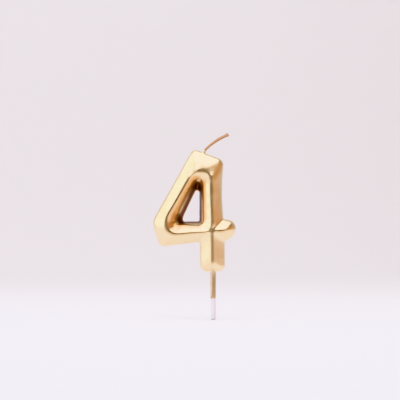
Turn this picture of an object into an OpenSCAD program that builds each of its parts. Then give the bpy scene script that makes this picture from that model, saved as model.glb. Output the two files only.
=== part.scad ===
// Birthday candle in the shape of the number 4, on a stick that is pushed into a cake.
// A cast wax digit with a flat back and a chiselled front wears a coat of gold lacquer. Its wick
// leans out of the top, and its plastic stick is moulded in at the foot and lacquered half way down.
// Millimetres. +Z is up and the front faces -Y. The origin is on the stick's axis, at the level of
// the digit's foot, where the candle meets the icing.

/* [Digit] */
// Height of the digit, from its foot to its top left corner
digit_h = 70; // [55:1:110]
// Thickness of the digit, from its flat back to its crest
digit_t = 10; // [8:0.5:14]
// Depth of the upright side walls behind the sloping faces
wall_h = 4.6; // [3.5:0.1:6]
// Radius of the rounded edge between side wall and sloping face
eave_r = 2.2; // [1.6:0.1:2.6]
// Radius of the rounding along the crest
crest_r = 0.8; // [0.6:0.1:1.4]
// Thickness of the gold lacquer on the wax
coat_t = 0.2; // [0.15:0.05:0.4]

/* [Wick] */
// Diameter of the braided cotton wick
wick_d = 1.6; // [1.2:0.1:2.2]
// Thickness of the lacquer on the bare end of the wick
wick_coat_t = 0.1; // [0.08:0.01:0.2]

/* [Stick] */
// Diameter of the bare lower end of the stick
stick_d = 3; // [2.4:0.1:3.6]
// Length of the stick below the digit's foot
stick_out = 27.5; // [20:0.5:45]
// Length of the lacquered stretch below the digit's foot
lacquered = 15; // [8:0.5:18]
// Length of the stick's barbed head inside the wax
head_l = 14; // [10:0.5:18]
// Growth of the stick's radius from the bare end up to the digit's foot
stick_draft = 0.12; // [0.05:0.01:0.2]

/* [Hidden] */

// The outline is drawn for a digit 70 high, and u scales it to digit_h.
u = digit_h / 70;
stick_r = stick_d / 2;
foot_r = stick_r + stick_draft;
stick_coat_t = 0.06;
tip_l = 1.3;
tip_r = 0.6 * stick_r;
back_y = digit_t / 2;
eave_y = back_y - wall_h;
crest_y = -digit_t / 2;
disc_h = 0.01;

// Strokes of the digit: corners of each outline as [x, z], going anticlockwise seen from the front,
// and the crest line along its middle.
diagonal = [[-35.1, 28.4], [-32.4, 20.2], [-20.6, 23.2], [-6.2, 48], [-6.2, 68.3], [-11.5, 70.3]];
diagonal_crest = [[-26.4, 25], [-27.2, 29.5], [-13.6, 53.2], [-7.4, 58.6]];
top_block = [[-16, 55], [-7, 46], [5.4, 46], [6.1, 63.5], [-11.5, 70.3]];
top_crest = [[-9.4, 57.8], [-6.7, 58.9], [-1.6, 56]];
stem = [[-7.5, 0], [6.8, 0], [6.2, 14], [6.1, 60], [-6.8, 60], [-7, 20]];
stem_crest = [[-0.2, 6.3], [-0.4, 26], [-0.8, 54.5]];
bar = [[-30.4, 14.2], [-4, 17.4], [4, 17.4], [4, 27.4], [-26, 27.4], [-35.1, 28.4]];
bar_crest = [[-25.6, 21.6], [-13, 22], [1.5, 22.5]];
stub_tip = [6.9, 23.9];
stub_r = 6;
stub_crest = [[0, 22.6], [8.2, 23.8]];

// Path of the wick from its buried end to its tip as [x, z]. It leaves the top edge near its sixth point.
wick_path = [
    [-0.4, 20], [-1.4, 31], [-2.9, 42], [-4.7, 53], [-6.2, 63],
    [-5.3, 68.4], [-1.9, 72], [2.6, 75.3], [8.5, 78.4],
];
wick_rings = 33;
wick_sides = 16;
// Share of the path at which the wick's lacquer begins, just inside the digit
coat_start = 0.56;

// Barbs on the head of the stick: heights of their lower edges, and their radius and length.
barb_z = [3, 6.5, 10];
barb_r = stick_r + 0.7;
barb_l = 2.2;
neck_r = stick_r - 0.3;

function unit(v) = v / norm(v);
function inward(p, q) = unit([p[1] - q[1], q[0] - p[0]]);
// Centre of a circle of radius r that touches both edges of corner i of an outline
function corner(pts, i, r) =
    let (n = len(pts), p = pts[i], before = inward(pts[(i + n - 1) % n], p), after = inward(p, pts[(i + 1) % n]))
    p + r * (before + after) / (1 + before * after);

// One point of an edge: a ball at the eave and a disc at the flat back
module post(x, z, skin) {
    translate([x, eave_y, z])
        sphere(r = eave_r - skin, $fn = 20);
    translate([x, back_y - skin, z])
        rotate([90, 0, 0])
            cylinder(r = eave_r - skin, h = disc_h, $fn = 20);
}

module crest(pts, skin) {
    for (p = pts)
        translate([u * p[0], crest_y + crest_r, u * p[1]])
            sphere(r = crest_r - skin, $fn = 16);
}

// A stroke with upright walls and faces that slope up to its crest, skin deep inside its surface
module stroke(pts, crest_pts, skin) {
    hull() {
        for (i = [0 : len(pts) - 1]) {
            c = corner(u * pts, i, eave_r);
            post(c[0], c[1], skin);
        }
        crest(crest_pts, skin);
    }
}

// The bar's short round end on the right of the stem
module stub(skin) {
    ring = u * stub_r - eave_r;
    hull() {
        for (a = [0 : 30 : 330])
            post(u * stub_tip[0] + ring * cos(a), u * stub_tip[1] + ring * sin(a), skin);
        post(0, u * 23, skin);
        crest(stub_crest, skin);
    }
}

// The whole digit, skin deep inside its surface, with its foot cut level
module digit(skin) {
    intersection() {
        union() {
            stroke(diagonal, diagonal_crest, skin);
            stroke(top_block, top_crest, skin);
            stroke(stem, stem_crest, skin);
            stroke(bar, bar_crest, skin);
            stub(skin);
        }
        translate([-50 * u, -20, skin])
            cube([100 * u, 40, 100 * u]);
    }
}

// Point at share t of the way along the smooth curve through the wick's path
function path_at(t) =
    let (
        n = len(wick_path) - 1,
        i = min(floor(t * n), n - 1),
        f = t * n - i,
        p = [for (k = [-1 : 2]) wick_path[max(0, min(n, i + k))]]
    )
    u * (
        p[1]
        + 0.5 * f * (p[2] - p[0])
        + 0.5 * f * f * (2 * p[0] - 5 * p[1] + 4 * p[2] - p[3])
        + 0.5 * f * f * f * (3 * p[1] - p[0] - 3 * p[2] + p[3])
    );

// The wick's stretch from share t0 to share t1 of its path, as one smooth tube
module wick_run(t0, t1, r) {
    rings = wick_rings;
    sides = wick_sides;
    step = (t1 - t0) / (rings - 1);
    points = [
        for (k = [0 : rings - 1])
            let (
                t = t0 + k * step,
                c = path_at(t),
                d = unit(path_at(min(t + 0.01, 1)) - path_at(max(t - 0.01, 0)))
            )
            for (j = [0 : sides - 1])
                let (a = 360 * j / sides)
                [c[0] + r * cos(a) * d[1], r * sin(a), c[1] - r * cos(a) * d[0]]
    ];
    faces = concat(
        [[for (j = [0 : sides - 1]) j]],
        [
            for (k = [0 : rings - 2], j = [0 : sides - 1])
                let (a = k * sides + j, b = k * sides + (j + 1) % sides)
                [a, a + sides, b + sides, b]
        ],
        [[for (j = [sides - 1 : -1 : 0]) (rings - 1) * sides + j]]
    );
    polyhedron(points, faces);
}

// The stick's outline turned about its axis: rounded tip, bare shank, drafted shank and barbed head
module turned_stick() {
    rotate_extrude($fn = 48)
        polygon(concat(
            [[0, -stick_out], [tip_r, -stick_out], [stick_r, tip_l - stick_out]],
            [[stick_r, -lacquered], [foot_r, 0], [foot_r, 1], [neck_r, 1.5]],
            [for (z = barb_z) each [[neck_r, z], [barb_r, z], [neck_r, z + barb_l]]],
            [[neck_r, head_l], [0, head_l]]
        ));
}

// The stick's lacquered stretch with its coat on, up through the coat of the digit's foot
module coated_shank() {
    slope = stick_draft / lacquered;
    r_low = stick_r + stick_coat_t;
    r_top = r_low + slope * (lacquered + coat_t);
    translate([0, 0, -lacquered])
        cylinder(r1 = r_low, r2 = r_top, h = lacquered + coat_t, $fn = 48);
}

module wax_digit() {
    color("#f2e6c4")
        difference() {
            digit(coat_t);
            turned_stick();
            wick_run(0, 1, wick_d / 2);
        }
}

module gold_coat() {
    color("#d9a860")
        difference() {
            digit(0);
            digit(coat_t);
            coated_shank();
            wick_run(coat_start, 1, wick_d / 2 + wick_coat_t);
        }
}

module wick() {
    color("#b98a55")
        wick_run(0, 1, wick_d / 2);
}

// Lacquer on the wick from the top edge of the digit to the wick's tip
module wick_coat() {
    color("#c9945a")
        difference() {
            wick_run(coat_start, 1, wick_d / 2 + wick_coat_t);
            wick_run(0, 1, wick_d / 2);
            digit(coat_t);
        }
}

module stick() {
    color("#ecebef")
        turned_stick();
}

module stick_coat() {
    color("#d2a268")
        difference() {
            coated_shank();
            turned_stick();
        }
}

wax_digit();
gold_coat();
wick();
wick_coat();
stick();
stick_coat();
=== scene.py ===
"""Birthday candle in the shape of a 4: gold-lacquered wax with a leaning wick, on a plastic stick.

The gold skin and the wax under it are surfaces of one field, worked out from the digit's outline:
the faces slope up from every edge to a crest along the middle of each stroke. Wick and stick are
swept and turned meshes. Lengths are in millimetres until a mesh is made, then in metres.
"""

import math

import bpy
import mathutils
import numpy as np
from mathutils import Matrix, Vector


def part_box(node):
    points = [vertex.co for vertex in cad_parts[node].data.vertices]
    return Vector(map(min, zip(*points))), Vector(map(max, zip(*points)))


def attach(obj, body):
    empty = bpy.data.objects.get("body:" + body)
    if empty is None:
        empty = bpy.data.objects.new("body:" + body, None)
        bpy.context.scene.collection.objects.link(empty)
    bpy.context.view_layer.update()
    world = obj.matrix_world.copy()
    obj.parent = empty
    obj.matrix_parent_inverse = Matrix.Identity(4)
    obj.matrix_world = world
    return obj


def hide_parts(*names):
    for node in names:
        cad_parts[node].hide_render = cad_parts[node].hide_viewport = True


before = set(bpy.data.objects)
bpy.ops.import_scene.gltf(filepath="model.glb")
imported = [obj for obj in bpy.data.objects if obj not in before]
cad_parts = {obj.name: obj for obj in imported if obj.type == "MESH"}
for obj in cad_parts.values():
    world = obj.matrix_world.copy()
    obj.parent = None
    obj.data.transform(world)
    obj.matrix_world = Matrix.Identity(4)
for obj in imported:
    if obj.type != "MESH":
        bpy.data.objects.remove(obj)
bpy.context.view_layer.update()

MM = 0.001
COAT_LO, COAT_HI = (np.array(corner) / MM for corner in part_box("gold_coat"))
WICK_LO, WICK_HI = (np.array(corner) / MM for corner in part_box("wick"))
STICK_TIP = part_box("stick")[0].z / MM
LACQUER_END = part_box("stick_coat")[0].z / MM

# ---------------------------------------------------------------- camera

# The middle of the view as (x, z), the width seen there, how far off the camera stands, and its sensor
VIEW_CENTRE = (-7.5, 41.0)
VIEW_WIDTH = 228.4
LENS_DISTANCE = 1400.0
SENSOR = 36.0


def make_camera():
    """A long lens that looks level at the candle's front."""
    data = bpy.data.cameras.new("camera")
    data.sensor_width = SENSOR
    data.lens = SENSOR * LENS_DISTANCE / VIEW_WIDTH
    data.clip_end = 20.0
    camera = bpy.data.objects.new("camera", data)
    camera.location = (VIEW_CENTRE[0] * MM, -LENS_DISTANCE * MM, VIEW_CENTRE[1] * MM)
    camera.rotation_euler = (math.pi / 2, 0, 0)
    bpy.context.collection.objects.link(camera)
    bpy.context.scene.camera = camera


make_camera()

# ---------------------------------------------------------------- the digit's shape

# The straight sides, each from one point to the next as (x, z) with the wax on its left, for a
# digit 70 high on its foot
DIAGONAL_SIDE = ((-11.5, 70.3), (-35.1, 28.4))
LEFT_END = ((-35.1, 28.4), (-30.5, 14.0))
BAR_FOOT = ((-30.5, 14.0), (-7.6, 16.9))
TOP_END = ((6.2, 63.7), (-11.5, 70.5))
STEM_LEFT = ((-7.7, 17.0), (-7.4, 0.0))
STEM_RIGHT = ((6.8, 0.0), (6.7, 17.5))
FOOT = ((-7.5, 0.0), (6.9, 0.0))
# The face above the foot is steeper than the others, with its own rounding to the stem's faces
FOOT_STEEPER, FOOT_BLEND = 2.4, 3.6
# The right side of the tall stroke bows in: where its waist is, how far it bows, and over what height
WAIST_X, WAIST_Z, WAIST_BOW, WAIST_REACH = 5.2, 46.0, 0.9, 17.5
# The short round end of the bar: its middle line, its half height, and its rounding from x to x
STUB_MIDDLE = ((0.0, 22.9), (9.0, 24.1))
STUB_HALF = 6.3
STUB_ROUND_X, STUB_TIP_X, STUB_SOFT = 6.5, 13.3, 2.6
# Where the bar's stub and the lower stem end inside the digit
STUB_INNER_X, STEM_INNER_Z = -6.5, 29.0
# The counter's corners at the edge of the front faces and where it comes out at the back, and their
# radius at each
COUNTER_FRONT = [(-20.6, 28.0), (-6.9, 28.2), (-6.9, 51.4), (-9.4, 51.2)]
COUNTER_BACK = [(-17.4, 28.9), (-8.0, 28.9), (-8.0, 48.6)]
COUNTER_FRONT_R, COUNTER_BACK_R = 1.2, 0.8
# The second front corner is nearly square: how square, and how far from it that holds
CORNER_POWER, CORNER_REACH = 5, 3.0

# Rounding of the hips between two faces, which grows away from the corner, and of the valleys
HIP_BLEND, HIP_SPREAD, HIP_SOFT = 2.6, 0.5, 2.0
VALLEY_BLEND = 1.2
# The crest stands nearer the counter round its apex, and further from it at its sharp left corner
APEX_STEEPER, APEX_FROM_Z, APEX_TO_Z, APEX_TO_X = 0.55, 30.0, 60.0, -8.0
CORNER_GENTLER, CORNER_X, CORNER_Z, CORNER_SPREAD = 0.2, -27.0, 23.0, 5.0
# The crest is what lies within the slack of the highest place near by. It is levelled along
# itself with these spreads and weights, cut flat by a little, and rounded.
CREST_NEAR, CREST_SLACK = 1.6, 0.4
CREST_SPREADS = ((2.6, 1.0), (7.0, 0.01))
CREST_FLAT, CREST_BLUR = 0.45, 0.65
# How far below the crest the painted dark reflection along it ends, and how soft that line and the
# counter's faces are
CREST_LINE, LINE_BLUR = 1.15, 0.35
FACING_BLUR, COUNTER_SIDE_BLUR = 1.0, 0.2

# The corners of the grids in x and z, with room round the digit, and their step
FIELD_LOW, FIELD_HIGH, FIELD_STEP = (-37.0, -3.0), (15.0, 73.0), 0.125


def smooth_max(a, b, size):
    """The higher of two values, rounded where they are within size of each other."""
    near = np.maximum(size - np.abs(a - b), 0) / size
    return np.maximum(a, b) + near * near * size / 4


def smooth_min(a, b, size):
    """The lower of two values, rounded in the same way."""
    return -smooth_max(-a, -b, size)


def hip(a, b, blend=HIP_BLEND):
    """The lower of two heights above a corner's edges, rounded more and more away from the corner."""
    low = np.minimum(a, b)
    return smooth_min(a, b, blend + HIP_SPREAD * (low + np.sqrt(low * low + HIP_SOFT**2)) / 2)


def side(x, z, ends):
    """Distance from a straight side, positive on its left."""
    (x0, z0), (x1, z1) = ends
    length = math.hypot(x1 - x0, z1 - z0)
    return ((x1 - x0) * (z - z0) - (z1 - z0) * (x - x0)) / length


def loop_distance(x, z, corners, radius):
    """Distance from a small convex opening, positive outside it, with round corners."""
    nearest = np.full(x.shape, np.inf)
    inside = np.ones(x.shape, bool)
    count = len(corners)
    centres = []
    for i in range(count):
        here = np.array(corners[i])
        back = np.array(corners[i - 1]) - here
        ahead = np.array(corners[(i + 1) % count]) - here
        back /= np.hypot(*back)
        ahead /= np.hypot(*ahead)
        half = math.acos(back @ ahead) / 2
        centres.append(here + (back + ahead) / np.hypot(*(back + ahead)) * radius / math.sin(half))
    for i in range(count):
        start = centres[i]
        edge = centres[(i + 1) % count] - start
        along = np.clip(((x - start[0]) * edge[0] + (z - start[1]) * edge[1]) / (edge @ edge), 0, 1)
        off = np.hypot(x - start[0] - along * edge[0], z - start[1] - along * edge[1])
        nearest = np.minimum(nearest, off)
        inside &= edge[0] * (z - start[1]) - edge[1] * (x - start[0]) > 0
    return np.where(inside, -nearest, nearest) - radius


def square_corner(x, z, distance):
    """The counter's distance, with the corner towards the crossing of the strokes nearly square."""
    corner_x, corner_z = COUNTER_FRONT[1]
    across = np.maximum(x - corner_x, 0)
    down = np.maximum(corner_z - z, 0)
    square = (across**CORNER_POWER + down**CORNER_POWER) ** (1 / CORNER_POWER)
    weight = np.where((across > 0) & (down > 0), np.clip(square / CORNER_REACH, 0, 1), 0)
    return distance * (1 - weight) + square * weight


def outer_distance(x, z, foot_steeper):
    """Distance from the digit's outer edge, positive inside, with soft hips and soft valleys."""
    waist = WAIST_X + WAIST_BOW * ((z - WAIST_Z) / WAIST_REACH) ** 2
    right = np.minimum(waist, WAIST_X + 2 * WAIST_BOW) - x
    head = hip(side(x, z, DIAGONAL_SIDE), side(x, z, TOP_END))
    head = hip(head, right)
    low = hip(side(x, z, BAR_FOOT), side(x, z, LEFT_END))
    head = hip(head, low)
    foot = foot_steeper * side(x, z, FOOT)
    stem = np.minimum(
        hip(side(x, z, STEM_LEFT), foot, FOOT_BLEND),
        hip(side(x, z, STEM_RIGHT), foot, FOOT_BLEND),
    )
    stem = np.minimum(stem, STEM_INNER_Z - z)
    off = np.abs(side(x, z, STUB_MIDDLE)) / STUB_HALF
    past = x - STUB_ROUND_X
    beyond = (past + np.sqrt(past * past + STUB_SOFT**2)) / 2 / (STUB_TIP_X - STUB_ROUND_X)
    stub = np.minimum(STUB_HALF * (1 - np.hypot(off, beyond)), x - STUB_INNER_X)
    return smooth_max(smooth_max(head, stem, VALLEY_BLEND), stub, VALLEY_BLEND)


def neighbours(values, reach, axis):
    """Yields the grid shifted along one axis by each step from -reach to reach, its border repeated."""
    widths = [(reach, reach) if axis == k else (0, 0) for k in (0, 1)]
    padded = np.pad(values, widths, mode="edge")
    size = values.shape[axis]
    for k in range(2 * reach + 1):
        yield np.take(padded, range(k, k + size), axis=axis)


def blurred(values, sigma):
    """The grid blurred by sigma steps."""
    reach = math.ceil(3 * sigma)
    weights = np.exp(-0.5 * (np.arange(-reach, reach + 1) / sigma) ** 2)
    weights /= weights.sum()
    for axis in (0, 1):
        values = sum(w * shifted for w, shifted in zip(weights, neighbours(values, reach, axis)))
    return values


def highest_near(values, reach):
    """The highest value within reach steps along x and z of each point."""
    for axis in (0, 1):
        values = np.max(list(neighbours(values, reach, axis)), axis=0)
    return values


def level_of_crest(depth, crest):
    """The depth along the nearest crest, for every point. The tiny terms keep it finite far away."""
    total, weight = 0, 0
    for spread, share in CREST_SPREADS:
        total = total + share * blurred(depth * crest, spread / FIELD_STEP)
        weight = weight + share * blurred(crest, spread / FIELD_STEP)
    return total / (weight + 1e-12) + 1e-6


def eased(value, start, end):
    """From 0 at start to 1 at end, level at both."""
    share = np.clip((value - start) / (end - start), 0, 1)
    return share * share * (3 - 2 * share)


def counter_steepness(x, z):
    """How steep the faces round the counter are, next to the outer faces."""
    apex = 1 + APEX_STEEPER * eased(z, APEX_FROM_Z, APEX_TO_Z) * eased(x, 0, APEX_TO_X)
    off = ((x - CORNER_X) ** 2 + (z - CORNER_Z) ** 2) / (2 * CORNER_SPREAD**2)
    return apex * (1 - CORNER_GENTLER * np.exp(-off))


def make_fields():
    """Grids over x and z that say how high the front face stands and how far the edges are.

    share: the face's height, from 0 at an edge to 1 on the crest; ridge: 1 on the crest's line, where a
    dark reflection is painted;
    fall: how much lower the counter's right-facing side lies; outer, front, back: distances inside
    the outline and outside the counter's two ends.
    """
    low, high = np.array(FIELD_LOW), np.array(FIELD_HIGH)
    count = np.ceil((high - low) / FIELD_STEP).astype(int) + 1
    x, z = np.meshgrid(*(low[k] + FIELD_STEP * np.arange(count[k]) for k in (0, 1)), indexing="ij")
    outer = outer_distance(x, z, 1.0)
    front = square_corner(x, z, loop_distance(x, z, COUNTER_FRONT, COUNTER_FRONT_R))
    back = loop_distance(x, z, COUNTER_BACK, COUNTER_BACK_R)
    depth = np.minimum(outer_distance(x, z, FOOT_STEEPER), front * counter_steepness(x, z))
    higher = highest_near(depth, round(CREST_NEAR / FIELD_STEP)) - depth
    crest = level_of_crest(depth, (higher < CREST_SLACK) * 1.0)
    share = blurred(np.minimum(depth / (crest - CREST_FLAT), 1), CREST_BLUR / FIELD_STEP)
    ridge = blurred(np.clip(1 - higher / CREST_LINE, 0, 1), LINE_BLUR / FIELD_STEP)
    facing = np.maximum(-np.gradient(front, FIELD_STEP, axis=0), 0)
    facing = blurred(facing, FACING_BLUR / FIELD_STEP)
    fall = (1 - share) * facing * blurred((front < outer) * 1.0, COUNTER_SIDE_BLUR / FIELD_STEP)
    return {"share": share, "fall": fall, "outer": outer, "front": front, "back": back, "ridge": ridge}


fields = make_fields()


def at(name, x, z):
    """A field's value at any points, by interpolation, as if the points beyond it lay on its border."""
    field = fields[name]
    u = np.clip((x - FIELD_LOW[0]) / FIELD_STEP, 0, field.shape[0] - 1.001)
    v = np.clip((z - FIELD_LOW[1]) / FIELD_STEP, 0, field.shape[1] - 1.001)
    i, j = u.astype(int), v.astype(int)
    f, g = u - i, v - j
    near = field[i, j] * (1 - g) + field[i, j + 1] * g
    far = field[i + 1, j] * (1 - g) + field[i + 1, j + 1] * g
    return near * (1 - f) + far * f


# ---------------------------------------------------------------- the wick's path

# The wick's way from its buried end to its tip, as (x, z)
WICK_WAY = [
    (-0.4, 20), (-1.4, 31), (-2.9, 42), (-4.7, 53), (-6.2, 63),
    (-5.3, 68.4), (-1.9, 72), (2.6, 75.3), (8.5, 78.4),
]
WICK_STEPS, SPAN_STEPS = 240, 40


def smooth_path(points, count):
    """Evenly spaced points on a smooth curve through these points."""
    points = np.array(points, float)
    ends = np.vstack([2 * points[0] - points[1], points, 2 * points[-1] - points[-2]])
    fine = []
    for i in range(len(points) - 1):
        a, b, c, d = ends[i : i + 4]
        t = np.linspace(0, 1, SPAN_STEPS, endpoint=False)[:, None]
        fine.append(b + 0.5 * t * (c - a + t * (2 * a - 5 * b + 4 * c - d + t * (3 * b - a - 3 * c + d))))
    fine = np.vstack([*fine, points[-1:]])
    along = np.r_[0, np.cumsum(np.linalg.norm(np.diff(fine, axis=0), axis=1))]
    even = np.linspace(0, along[-1], count)
    return np.stack([np.interp(even, along, fine[:, k]) for k in range(points.shape[1])], 1)


wick_way = smooth_path([(x, (WICK_LO[1] + WICK_HI[1]) / 2, z) for x, z in WICK_WAY], WICK_STEPS)

# ---------------------------------------------------------------- the digit's solid

# The back's y, and the y of the front faces' outer edge
BACK, EAVE = COAT_HI[1], -0.1
# The front faces: their rise from the edge to the crest, how much they bow, and their slope, which
# makes distances in y count for less; and how much lower the counter's right-facing side lies
FACE_RISE, FACE_CROWN, FACE_TILT = 5.05, 0.2, 0.8
COUNTER_FALL = 1.6
# How much the outer walls lean in per millimetre from back to front
WALL_DRAFT = 0.05
# The rounding of the outer edge, of the counter's edge and of the back's edge, and the back's dish
EAVE_ROUND, COUNTER_ROUND, BACK_ROUND = 1.0, 2.2, 0.8
BACK_SINK = 0.4
COAT_DEPTH = 0.2
# Slow waves of the outline, the surface and the back, for wax that was cast and dipped
WAVE_SEED, WAVE_COUNT, WAVE_SHORT, WAVE_LONG = 4, 9, 4.0, 14.0
OUTLINE_WAVE, SURFACE_WAVE = 0.12, 0.05
BACK_WAVE, BACK_WAVE_SCALE, BACK_WAVE_RISE = 0.16, 0.45, 0.3
WICK_R, STICK_R = 0.8, 1.5
# Lacquer is drawn up round the wick, from and to so far below the coat's top, and down the stick,
# between two heights. Both lie a little outside the wick or stick and meet the digit in a curve.
COLLAR_FROM, COLLAR_TO, COLLAR_OUT = 4.5, 1.2, 0.08
SLEEVE_FROM, SLEEVE_TO, SLEEVE_OUT = -0.5, 3.0, 0.1
MENISCUS = 0.8


def make_waves():
    """A few long waves in random directions."""
    rng = np.random.default_rng(WAVE_SEED)
    directions = rng.normal(size=(WAVE_COUNT, 3))
    directions /= np.linalg.norm(directions, axis=1)[:, None]
    lengths = rng.uniform(WAVE_SHORT, WAVE_LONG, WAVE_COUNT)
    return directions * (2 * math.pi / lengths)[:, None], rng.uniform(0, 2 * math.pi, WAVE_COUNT)


wave_vectors, wave_phases = make_waves()


def unevenness(p):
    """The slow waves' sum at any points, within 1 of 0."""
    return np.sin(p @ wave_vectors.T + wave_phases).mean(1)


def to_rod(p, start, end):
    """Distance from a straight line between two points."""
    run = end - start
    along = np.clip((p - start) @ run / (run @ run), 0, 1)
    return np.linalg.norm(p - start - along[:, None] * run, axis=1)


def digit_solid(p, skin):
    """Negative inside the digit, skin deep under its surface. p holds points as rows of x, y, z."""
    wobble = OUTLINE_WAVE * unevenness(p[:, [2, 0, 1]])
    x, y, z = p[:, 0] + wobble, p[:, 1], p[:, 2] + wobble
    share, fall = at("share", x, z), at("fall", x, z)
    outer, front, back = at("outer", x, z), at("front", x, z), at("back", x, z)
    rise = FACE_RISE * share * (1 + FACE_CROWN * (1 - share)) - COUNTER_FALL * fall
    face = (EAVE - rise - y) * FACE_TILT
    wall = WALL_DRAFT * (BACK - y) - outer
    through = np.clip((BACK - y) / (BACK - EAVE), 0, 1)
    bore = -(back + (front - back) * through)
    solid = smooth_max(smooth_max(face, wall, EAVE_ROUND), bore, COUNTER_ROUND)
    solid = smooth_max(solid, y - BACK + BACK_SINK * share, BACK_ROUND)
    near_back = np.clip((y - BACK) / BACK_ROUND + 1, 0, 1)
    dished = BACK_WAVE * near_back * (unevenness(BACK_WAVE_SCALE * p) + BACK_WAVE_RISE)
    return solid + SURFACE_WAVE * unevenness(p) + dished + skin


def skin_solid(p):
    """The lacquered digit, with the lacquer drawn up a little round the wick and down the stick."""
    solid = digit_solid(p, 0.0)
    leaving = wick_way[np.searchsorted(wick_way[:, 2], COAT_HI[2] - COLLAR_FROM)]
    beyond = wick_way[np.searchsorted(wick_way[:, 2], COAT_HI[2] - COLLAR_TO)]
    collar = to_rod(p, leaving, beyond) - WICK_R - COLLAR_OUT
    sleeve = to_rod(p, np.array([0, 0, SLEEVE_FROM]), np.array([0, 0, SLEEVE_TO])) - STICK_R - SLEEVE_OUT
    return smooth_min(smooth_min(solid, collar, MENISCUS), sleeve, MENISCUS)


def core_solid(p):
    """The wax under the lacquer."""
    return digit_solid(p, COAT_DEPTH)


# ---------------------------------------------------------------- meshes from solids


def net_surface(solid, low, high, step):
    """A quad mesh on the surface where solid(points) is zero, by the surface nets method."""
    count = np.ceil((high - low) / step).astype(int) + 1
    axes = [low[k] + step * np.arange(count[k]) for k in range(3)]
    values = np.empty(count)
    for i, x in enumerate(axes[0]):
        ys, zs = np.meshgrid(axes[1], axes[2], indexing="ij")
        values[i] = solid(np.stack([np.full(ys.size, x), ys.ravel(), zs.ravel()], 1)).reshape(ys.shape)
    inside = values < 0
    corners = [(a, b, c) for a in (0, 1) for b in (0, 1) for c in (0, 1)]

    def shifted(grid, corner):
        return grid[tuple(slice(o, n - 1 + o) for o, n in zip(corner, count))]

    # One point in each cell that the surface passes through, at the mean of its edges' crossings
    full = sum(shifted(inside, corner).astype(int) for corner in corners)
    cells = np.argwhere((full > 0) & (full < 8))
    number = np.full(count - 1, -1)
    number[tuple(cells.T)] = np.arange(len(cells))
    total, hits = np.zeros((len(cells), 3)), np.zeros(len(cells))
    for one in corners:
        for axis in range(3):
            if one[axis]:
                continue
            two = tuple(1 if k == axis else one[k] for k in range(3))
            a = values[tuple((cells + one).T)]
            b = values[tuple((cells + two).T)]
            cut = (a < 0) != (b < 0)
            place = cells[cut] + np.array(one, float)
            place[:, axis] += a[cut] / (a[cut] - b[cut])
            total[cut] += place
            hits[cut] += 1
    points = low + step * total / hits[:, None]

    # One quad round each grid edge that crosses the surface, through the four cells it touches
    quads = []
    for axis in range(3):
        u, v = (axis + 1) % 3, (axis + 2) % 3
        lower = [slice(None)] * 3
        upper = [slice(None)] * 3
        lower[axis], upper[axis] = slice(0, -1), slice(1, None)
        cut = inside[tuple(lower)] != inside[tuple(upper)]
        edges = np.argwhere(cut)
        edges = edges[(edges[:, u] > 0) & (edges[:, v] > 0)]
        leaving = inside[tuple(edges.T)]
        ring = []
        for du, dv in ((1, 1), (0, 1), (0, 0), (1, 0)):
            cell = edges.copy()
            cell[:, u] -= du
            cell[:, v] -= dv
            ring.append(number[tuple(cell.T)])
        ring = np.stack(ring, 1)
        quads.append(np.where(leaving[:, None], ring, ring[:, ::-1]))
    return points, np.vstack(quads)


# A flatter place than this would throw a point far off
LEAST_SLOPE = 0.05


def settle(points, solid, rounds, feel):
    """Moves points onto the surface of the solid along its slope, felt for so far either way."""
    for _ in range(rounds):
        here = solid(points)
        slope = np.stack([
            (solid(points + feel * np.eye(3)[k]) - solid(points - feel * np.eye(3)[k])) / (2 * feel)
            for k in range(3)
        ], 1)
        points = points - (here / np.maximum((slope**2).sum(1), LEAST_SLOPE))[:, None] * slope
    return points


def across_and_up(path):
    """Two directions square to a path at each of its points."""
    ahead = np.gradient(path, axis=0)
    ahead /= np.linalg.norm(ahead, axis=1)[:, None]
    across = np.cross(ahead, [0, 1, 0])
    across /= np.linalg.norm(across, axis=1)[:, None]
    return across, np.cross(across, ahead)


def round_angles(sides):
    """Evenly spaced angles round a ring."""
    return 2 * math.pi * np.arange(sides) / sides


def upright_ring(radius, angles, z):
    """A ring of points round the z axis, at one height or at a height for each angle."""
    return np.stack([radius * np.cos(angles), radius * np.sin(angles), z + 0 * angles], 1)


def through_rings(rings, start, end):
    """Points and faces of a closed skin over rings of as many points each, with a point at each end."""
    count, sides = len(rings), len(rings[0])
    points = np.vstack([*rings, [start], [end]])
    faces = []
    for k in range(count - 1):
        for j in range(sides):
            a, b = k * sides + j, k * sides + (j + 1) % sides
            faces.append((a, b, b + sides, a + sides))
    first, last = count * sides, count * sides + 1
    for j in range(sides):
        faces.append((first, (j + 1) % sides, j))
        a, b = (count - 1) * sides + j, (count - 1) * sides + (j + 1) % sides
        faces.append((last, a, b))
    return points, faces


def tube(path, radii, sides):
    """Points and faces of a closed tube along a path, with its own radius at each point."""
    angles = round_angles(sides)
    rings = [
        c + r * (np.cos(angles)[:, None] * a + np.sin(angles)[:, None] * b)
        for c, r, a, b in zip(path, radii, *across_and_up(path))
    ]
    return through_rings(rings, path[0], path[-1])


def join(parts):
    """One list of points and one of faces from several."""
    points, faces, start = [], [], 0
    for some, those in parts:
        points.append(some)
        faces += [tuple(i + start for i in f) for f in those]
        start += len(some)
    return np.vstack(points), faces


def mesh_object(name, points, faces, material):
    """A smooth-shaded piece of the candle from points in millimetres."""
    mesh = bpy.data.meshes.new(name)
    mesh.from_pydata((np.asarray(points) * MM).tolist(), [], [list(map(int, f)) for f in faces])
    mesh.shade_smooth()
    mesh.materials.append(material)
    piece = bpy.data.objects.new(name, mesh)
    bpy.context.collection.objects.link(piece)
    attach(piece, "root")
    return piece


# ---------------------------------------------------------------- materials


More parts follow.
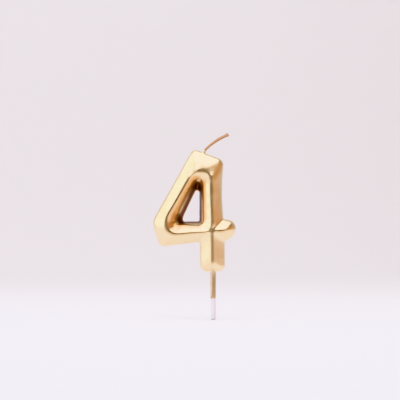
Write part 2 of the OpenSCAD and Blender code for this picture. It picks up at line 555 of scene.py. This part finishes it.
def new_material(name, colour, roughness, metallic=0.0):
    """A material and its principled shader."""
    material = bpy.data.materials.new(name)
    material.use_nodes = True
    shader = material.node_tree.nodes["Principled BSDF"]
    shader.inputs["Base Color"].default_value = (*colour, 1)
    shader.inputs["Roughness"].default_value = roughness
    shader.inputs["Metallic"].default_value = metallic
    return material, shader


def node(material, kind, **settings):
    """A node with its inputs or its own settings set by name."""
    made = material.node_tree.nodes.new(kind)
    for key, value in settings.items():
        if key in made.inputs:
            made.inputs[key].default_value = value
        else:
            setattr(made, key, value)
    return made


def link(material, source, output, target, socket):
    """Joins one node's output to another's input."""
    material.node_tree.links.new(source.outputs[output], target.inputs[socket])


def noise(material, size, detail=2.0, roughness=0.5, stretch=(1, 1, 1)):
    """Noise whose grains are about size millimetres across."""
    place = node(material, "ShaderNodeTexCoord")
    mapping = node(material, "ShaderNodeMapping")
    mapping.inputs["Scale"].default_value = stretch
    grain = node(material, "ShaderNodeTexNoise", Scale=1 / (size * MM), Detail=detail, Roughness=roughness)
    link(material, place, "Object", mapping, "Vector")
    link(material, mapping, "Vector", grain, "Vector")
    return grain


def ramp(material, source, output, stops):
    """Colours against a value, with stops as (place, colour)."""
    made = node(material, "ShaderNodeValToRGB")
    elements = made.color_ramp.elements
    elements[0].position, elements[0].color = stops[0][0], (*stops[0][1], 1)
    elements[1].position, elements[1].color = stops[-1][0], (*stops[-1][1], 1)
    for place, colour in stops[1:-1]:
        extra = elements.new(place)
        extra.color = (*colour, 1)
    link(material, source, output, made, "Fac")
    return made


def spread(material, source, output, low, high):
    """A noise's usual values, 0.3 to 0.7, spread over low to high."""
    made = node(material, "ShaderNodeMapRange")
    made.inputs["From Min"].default_value = 0.3
    made.inputs["From Max"].default_value = 0.7
    made.inputs["To Min"].default_value = low
    made.inputs["To Max"].default_value = high
    link(material, source, output, made, "Value")
    return made


def bump(material, shader, heights):
    """Bumps on top of each other, from pairs of a height source and its height in millimetres."""
    last = None
    for source, height in heights:
        made = node(material, "ShaderNodeBump", Strength=1.0, Distance=height * MM)
        link(material, source, "Fac", made, "Height")
        if last:
            link(material, last, "Normal", made, "Normal")
        last = made
    link(material, last, "Normal", shader, "Normal")


def tinted(material, shader, source, stops):
    """Gives the shader a colour that follows a noise."""
    link(material, ramp(material, source, "Fac", stops), "Color", shader, "Base Color")


GOLD = (0.87, 0.71, 0.455)
GOLDS = ((0.85, 0.67, 0.41), GOLD, (0.89, 0.745, 0.495))
# Darker, browner shades of the same gold for the stick's lacquer: painted shade
SHADED_STICK_GOLDS = ((0.54, 0.37, 0.2), (0.62, 0.44, 0.26), (0.68, 0.5, 0.32))
GOLD_PLACES = (0.32, 0.5, 0.68)
# What the gold is multiplied by: none, painted shade down the counter, and a painted dark reflection along
# the crest
PLAIN = (1, 1, 1)
COPPERY, BROWNER = (1.0, 0.83, 0.71), (0.15, 0.06, 0.035)
OLIVE_REFLECTION = (0.5, 0.38, 0.22)
COPPERY_FROM = 0.3
# Sizes of the slow changes in colour, the orange peel and the metal flake, in millimetres
CLOUD, PEEL, FLAKE = 6.0, 0.9, 0.12
FLAKE_HEIGHT = 0.003
# How far the flake takes the roughness down and up, and the clear layer on top
SMOOTHER, ROUGHER = 0.05, 0.06
CLEAR_COAT, CLEAR_ROUGHNESS = 0.15, 0.12


def gold_material(name, roughness, peel_height, shades):
    """Metallic gold lacquer with flake, orange peel and slow changes in colour.

    Painted shade makes it browner down the counter, following the mesh's recess attribute, and a painted
    dark reflection makes it olive along the crest.
    """
    material, shader = new_material(name, GOLD, roughness, metallic=1.0)
    cloud = noise(material, CLOUD, detail=3.0)
    tint = ramp(material, cloud, "Fac", list(zip(GOLD_PLACES, shades)))
    # Painted shade: the gold darkens to brown down the counter's walls and on its sloping left face
    recess = node(material, "ShaderNodeAttribute", attribute_name="recess")
    counter_shade = ramp(material, recess, "Fac", [(0.0, PLAIN), (COPPERY_FROM, COPPERY), (1.0, BROWNER)])
    # Painted dark reflection: the gold turns olive along the crest
    crest = node(material, "ShaderNodeAttribute", attribute_name="crest")
    line = ramp(material, crest, "Fac", [(0.0, PLAIN), (1.0, OLIVE_REFLECTION)])
    colour = tint.outputs["Color"]
    for layer in (counter_shade, line):
        # A colour mix has its factor in socket 0, its colours in 6 and 7 and its result in 2
        mixed = node(material, "ShaderNodeMix", data_type="RGBA", blend_type="MULTIPLY")
        mixed.inputs[0].default_value = 1
        material.node_tree.links.new(colour, mixed.inputs[6])
        material.node_tree.links.new(layer.outputs["Color"], mixed.inputs[7])
        colour = mixed.outputs[2]
    material.node_tree.links.new(colour, shader.inputs["Base Color"])
    flake = noise(material, FLAKE, detail=1.0)
    grain = spread(material, flake, "Fac", roughness - SMOOTHER, roughness + ROUGHER)
    link(material, grain, "Result", shader, "Roughness")
    peel = noise(material, PEEL, detail=2.0)
    bump(material, shader, [(peel, peel_height), (flake, FLAKE_HEIGHT)])
    shader.inputs["Coat Weight"].default_value = CLEAR_COAT
    shader.inputs["Coat Roughness"].default_value = CLEAR_ROUGHNESS
    return material


WAX_CREAM = (0.88, 0.8, 0.62)
WAX_SHADES = [(0.3, (0.86, 0.77, 0.58)), (0.7, (0.9, 0.83, 0.67))]


def wax_material():
    """Cream paraffin wax, hidden under the lacquer."""
    material, shader = new_material("cream_wax", WAX_CREAM, roughness=0.45)
    tinted(material, shader, noise(material, 4.0), WAX_SHADES)
    bump(material, shader, [(noise(material, 0.6), 0.02)])
    return material


PLASTIC_WHITE = (0.7, 0.67, 0.71)
PLASTIC_SHADES = [(0.3, (0.67, 0.64, 0.68)), (0.7, (0.73, 0.7, 0.74))]


def stick_material():
    """White moulded polypropylene with faint flow lines along it."""
    material, shader = new_material("white_plastic", PLASTIC_WHITE, roughness=0.34)
    tinted(material, shader, noise(material, 2.0, stretch=(1, 1, 0.15)), PLASTIC_SHADES)
    bump(material, shader, [(noise(material, 0.35, stretch=(1, 1, 0.2)), 0.012)])
    shader.inputs["Subsurface Weight"].default_value = 0.2
    shader.inputs["Subsurface Scale"].default_value = 0.0015
    return material


YARN_BROWN = (0.5, 0.27, 0.13)
YARN_SHADES = [(0.3, (0.3, 0.14, 0.06)), (0.5, (0.48, 0.26, 0.13)), (0.7, (0.65, 0.44, 0.29))]


def wick_material():
    """Gold lacquer soaked into cotton yarn: duller and browner, with the yarn's fibres showing."""
    material, shader = new_material("lacquered_wick", YARN_BROWN, roughness=0.5, metallic=0.5)
    fibres = noise(material, 0.25, detail=3.0)
    tinted(material, shader, fibres, YARN_SHADES)
    bump(material, shader, [(fibres, 0.06)])
    return material


# ---------------------------------------------------------------- pieces

# The grids that the surfaces are found on: their room round the coat's box, and their steps
NET_MARGIN = 2.5
SKIN_STEP, CORE_STEP = 0.3, 0.7
# The painted shade of the counter: how far it reaches outside the rim, between which y it comes in, how
# brown its sloping left face is painted and how soon, and how close to the back it ends
COUNTER_RIM = 2.5
RECESS_TOP, RECESS_LOW = -1.9, 1.4
FACE_PAINTED_SHADE, FACE_PAINTED_SHADE_RATE = 0.3, 10
RECESS_END = 0.25
# The crest's painted dark reflection is drawn only on what lies further forward than this
CREST_FRONT = -2.0


# How much painted shade each point of the skin gets
def painted_counter_shade(points):
    """How far each point is down the counter's wall, from 0 on the faces to 1 on the upright wall."""
    x, z = points[:, 0], points[:, 2]
    near = 1 - np.clip(at("front", x, z) / COUNTER_RIM, 0, 1)
    wall = near * eased(points[:, 1], RECESS_TOP, RECESS_LOW)
    facet = FACE_PAINTED_SHADE * np.clip(FACE_PAINTED_SHADE_RATE * at("fall", x, z), 0, 1)
    return np.maximum(wall, facet) * np.clip(BACK - RECESS_END - points[:, 1], 0, 1)


def nearness_to_crest(points):
    """1 on the crest line of the front, falling to 0 about a millimetre from it."""
    # Where the olive line along the crest is painted as a dark reflection
    return at("ridge", points[:, 0], points[:, 2]) * np.clip(CREST_FRONT - points[:, 1], 0, 1)


def make_skin():
    """The gold skin that covers the whole digit."""
    points, faces = net_surface(skin_solid, COAT_LO - NET_MARGIN, COAT_HI + NET_MARGIN, SKIN_STEP)
    points = settle(points, skin_solid, rounds=3, feel=0.06)
    material = gold_material("gold_lacquer", roughness=0.27, peel_height=0.02, shades=GOLDS)
    piece = mesh_object("gold_skin", points, faces, material)
    # Attributes for the gold's painted colour: painted shade down the counter, a painted dark reflection
    # along the crest
    for name, values in (("recess", painted_counter_shade(points)), ("crest", nearness_to_crest(points))):
        attribute = piece.data.attributes.new(name, "FLOAT", "POINT")
        attribute.data.foreach_set("value", values)
    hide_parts("gold_coat")
    return piece


def make_core():
    """The wax digit inside the skin."""
    points, faces = net_surface(core_solid, COAT_LO - NET_MARGIN, COAT_HI + NET_MARGIN, CORE_STEP)
    points = settle(points, core_solid, rounds=2, feel=0.1)
    piece = mesh_object("wax_core", points, faces, wax_material())
    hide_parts("wax_digit")


# The wick's plies: how many, the length of one turn, their radius and how far out they lie
PLIES, PLY_PITCH, PLY_R, PLY_OUT = 3, 6.5, 0.58, 0.27
PLY_SIDES = 14
# The wick is slim where it leaves the wax and thickens over the next few millimetres
WICK_SLIM, WICK_THICKER, SLIM_Z, SLIM_REACH = 0.76, 0.3, 69, 6
# Each ply's slight unevenness along it, and how much looser and over what length its end is
PLY_WAVE, PLY_WAVE_RATE = 0.06, 3.1
TIP_LOOSE, TIP_REACH = 0.25, 2.5


def make_wick():
    """Three plies of cotton twisted round each other, looser at the tip."""
    across, up = across_and_up(wick_way)
    step = np.linalg.norm(np.diff(wick_way, axis=0), axis=1)
    along = np.r_[0, np.cumsum(step)]
    slim = WICK_SLIM + WICK_THICKER * np.clip((wick_way[:, 2] - SLIM_Z) / SLIM_REACH, 0, 1)
    loose = TIP_LOOSE * np.clip((along - along[-1] + TIP_REACH) / TIP_REACH, 0, 1)
    plies = []
    for ply in range(PLIES):
        turn = 2 * math.pi * (along / PLY_PITCH + ply / PLIES)
        out = np.cos(turn)[:, None] * across + np.sin(turn)[:, None] * up
        swell = 1 + PLY_WAVE * np.sin(along * PLY_WAVE_RATE + ply) + loose
        plies.append(tube(wick_way + (PLY_OUT * slim)[:, None] * out, PLY_R * slim * swell, PLY_SIDES))
    piece = mesh_object("wick_plies", *join(plies), wick_material())
    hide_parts("wick", "wick_coat")
    return piece


# The stick's blunt round tip: its length, its fullness and the rings in it. Above it the shank is
# straight, from a little above the tip to inside the digit.
TIP_LENGTH, TIP_FULLNESS, TIP_RINGS = 1.3, 0.8, 8
SHANK_FROM, SHANK_TOP, SHANK_RINGS = 1.8, 1.0, 40
STICK_SIDES = 48


def make_stick():
    """The white stick below the digit, with its blunt tip."""
    angles = round_angles(STICK_SIDES)
    rings = []
    for k in range(1, TIP_RINGS + 1):
        a = math.pi / 2 * k / TIP_RINGS
        radius = STICK_R * math.sin(a) ** TIP_FULLNESS
        rings.append(upright_ring(radius, angles, STICK_TIP + TIP_LENGTH * (1 - math.cos(a))))
    for z in np.linspace(STICK_TIP + SHANK_FROM, SHANK_TOP, SHANK_RINGS):
        rings.append(upright_ring(STICK_R, angles, z))
    skin = through_rings(rings, (0, 0, STICK_TIP), (0, 0, SHANK_TOP))
    piece = mesh_object("stick_shank", *skin, stick_material())
    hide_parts("stick")
    return piece


# The lacquer on the stick: its top inside the digit, its thickness and how soon that is reached,
# and the bead against the wax
LACQUER_SIDES, LACQUER_RINGS, LACQUER_TOP = 64, 40, 0.6
LACQUER_START, LACQUER_THICK, LACQUER_SOON = 0.01, 0.05, 12
BEAD, BEAD_POWER = 0.1, 8
LACQUER_SUNK = 0.05
# The waves of its lower edge: the height of each, how many go round the stick, and their phase
EDGE_WAVES = ((0.3, 1, 1.0), (0.12, 3, 0.0), (0.06, 7, 2.0))


def make_stick_lacquer():
    """The lacquer on the upper half of the stick, with an uneven lower edge."""
    angles = round_angles(LACQUER_SIDES)
    edge = LACQUER_END + sum(height * np.sin(n * angles + phase) for height, n, phase in EDGE_WAVES)
    rings = [upright_ring(STICK_R - LACQUER_SUNK, angles, edge)]
    for k in range(LACQUER_RINGS):
        share = k / (LACQUER_RINGS - 1)
        thick = LACQUER_START + LACQUER_THICK * min(1.0, share * LACQUER_SOON) + BEAD * share**BEAD_POWER
        rings.append(upright_ring(STICK_R + thick, angles, edge + (LACQUER_TOP - edge) * share))
    skin = through_rings(rings, (0, 0, LACQUER_END), (0, 0, LACQUER_TOP))
    # The stick's lacquer gets the darker gold shades, as painted shade
    material = gold_material("gold_lacquer_on_stick", roughness=0.22, peel_height=0.01, shades=SHADED_STICK_GOLDS)
    piece = mesh_object("stick_lacquer", *skin, material)
    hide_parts("stick_coat")
    return piece


# ---------------------------------------------------------------- stage and lights

# The floor's sides, the round corner between its two walls, and the walls' curved foot and height
FLOOR_LEFT, FLOOR_RIGHT = -950.0, 2200.0
FLOOR_FRONT, FLOOR_BACK = -1500.0, 700.0
CORNER_R, CORNER_STEPS = 350.0, 8
SWEEP_R, SWEEP_STEPS, WALL_TOP = 450.0, 16, 1800.0
FLOOR_COLOUR, FLOOR_ROUGHNESS = (0.82, 0.805, 0.835), 0.7


def make_stage():
    """A pale floor that curves up into pale walls on the left and at the back."""
    way = [(FLOOR_LEFT, FLOOR_FRONT)]
    for k in range(CORNER_STEPS + 1):
        a = math.radians(180 - 90 * k / CORNER_STEPS)
        x = FLOOR_LEFT + CORNER_R * (1 + math.cos(a))
        y = FLOOR_BACK - CORNER_R * (1 - math.sin(a))
        way.append((x, y))
    way.append((FLOOR_RIGHT, FLOOR_BACK))
    profile = [(0, 0)]
    for k in range(1, SWEEP_STEPS + 1):
        a = math.pi / 2 * k / SWEEP_STEPS
        profile.append((SWEEP_R * math.sin(a), SWEEP_R * (1 - math.cos(a))))
    profile.append((SWEEP_R, WALL_TOP))
    way = np.array(way)
    ahead = np.gradient(way, axis=0)
    ahead /= np.linalg.norm(ahead, axis=1)[:, None]
    out = np.stack([-ahead[:, 1], ahead[:, 0]], 1)
    points = [(*(p + o * d), STICK_TIP + z) for p, o in zip(way, out) for d, z in profile]
    rows = len(profile)
    # The flat floor is one face inside the walls' foot and the front right corner
    faces = [(*range(len(points) - rows, -1, -rows), len(points))]
    points.append((FLOOR_RIGHT, FLOOR_FRONT, STICK_TIP))
    for i in range(len(way) - 1):
        for k in range(rows - 1):
            a = i * rows + k
            faces.append((a, a + rows, a + rows + 1, a + 1))
    mesh = bpy.data.meshes.new("floor")
    mesh.from_pydata([tuple(c * MM for c in p) for p in points], [], faces)
    mesh.shade_smooth()
    material, _ = new_material("pale_floor", FLOOR_COLOUR, FLOOR_ROUGHNESS)
    mesh.materials.append(material)
    stage = bpy.data.objects.new("floor", mesh)
    bpy.context.collection.objects.link(stage)
    return stage


def lit_group(name, things):
    """A collection for a light that falls on these objects only."""
    group = bpy.data.collections.new(name)
    for thing in things:
        group.objects.link(thing)
    return group


def area_light(name, place, target, size, power, colour, only=None):
    """A rectangular light, its place and size in metres and its power in watts, turned to a target."""
    data = bpy.data.lights.new(name, "AREA")
    data.shape = "RECTANGLE"
    data.size, data.size_y = size
    data.energy = power
    data.color = colour
    lamp = bpy.data.objects.new(name, data)
    lamp.location = place
    ahead = mathutils.Vector(target) - mathutils.Vector(place)
    lamp.rotation_euler = ahead.to_track_quat("-Z", "Y").to_euler()
    bpy.context.collection.objects.link(lamp)
    if only:
        lamp.light_linking.receiver_collection = only


CANDLE_MIDDLE = (0, 0, 0.035)
WALL_TARGET = (-0.2, 1.0, 0.1)
# The colours of the lights
NEUTRAL, PALE_GREEN = (1.0, 0.98, 1.0), (0.87, 1.0, 0.98)
ORANGE, PALE_BLUE = (1.0, 0.46, 0.19), (0.92, 0.97, 1.05)


def make_lights(pieces, stick_lacquer, stage):
    """A pale softbox on the left, a warm one on the right, one above, and a light for the walls."""
    candle = lit_group("candle", [*pieces, stick_lacquer])
    rest = lit_group("all_but_stick_lacquer", pieces)
    walls = lit_group("backdrop", [stage])
    area_light("backdrop_light", (-0.2, 0.1, 1.3), WALL_TARGET, (1.8, 0.5), 8, NEUTRAL, walls)
    area_light("left_softbox", (-0.92, -0.26, 0.25), CANDLE_MIDDLE, (0.8, 1.2), 5.2, PALE_GREEN, candle)
    area_light("right_softbox", (0.86, -0.4, 0.12), CANDLE_MIDDLE, (0.95, 0.9), 1.1, ORANGE, rest)
    area_light("top_softbox", (0, -0.45, 0.87), CANDLE_MIDDLE, (1.3, 0.95), 14, PALE_BLUE)


# The room's colours, and how far back its pale part begins
ROOM_DARK, ROOM_PALE, ROOM_PALE_FROM = (0.24, 0.155, 0.08, 1), (0.75, 0.72, 0.76, 1), 0.1


def make_world():
    """A room that is dim and warm in front of the candle and pale behind it."""
    world = bpy.data.worlds.new("studio")
    world.use_nodes = True
    tree = world.node_tree
    way = tree.nodes.new("ShaderNodeTexCoord")
    parts = tree.nodes.new("ShaderNodeSeparateXYZ")
    tree.links.new(way.outputs["Generated"], parts.inputs[0])
    shade = tree.nodes.new("ShaderNodeValToRGB")
    tree.links.new(parts.outputs["Y"], shade.inputs["Fac"])
    front, rear = shade.color_ramp.elements
    front.position, front.color = 0.0, ROOM_DARK
    rear.position, rear.color = ROOM_PALE_FROM, ROOM_PALE
    tree.links.new(shade.outputs["Color"], tree.nodes["Background"].inputs["Color"])
    bpy.context.scene.world = world


visible = [make_skin(), make_wick(), make_stick()]
lacquer_on_stick = make_stick_lacquer()
make_core()
make_lights(visible, lacquer_on_stick, make_stage())
make_world()
bpy.context.scene.view_settings.view_transform = "Khronos PBR Neutral"
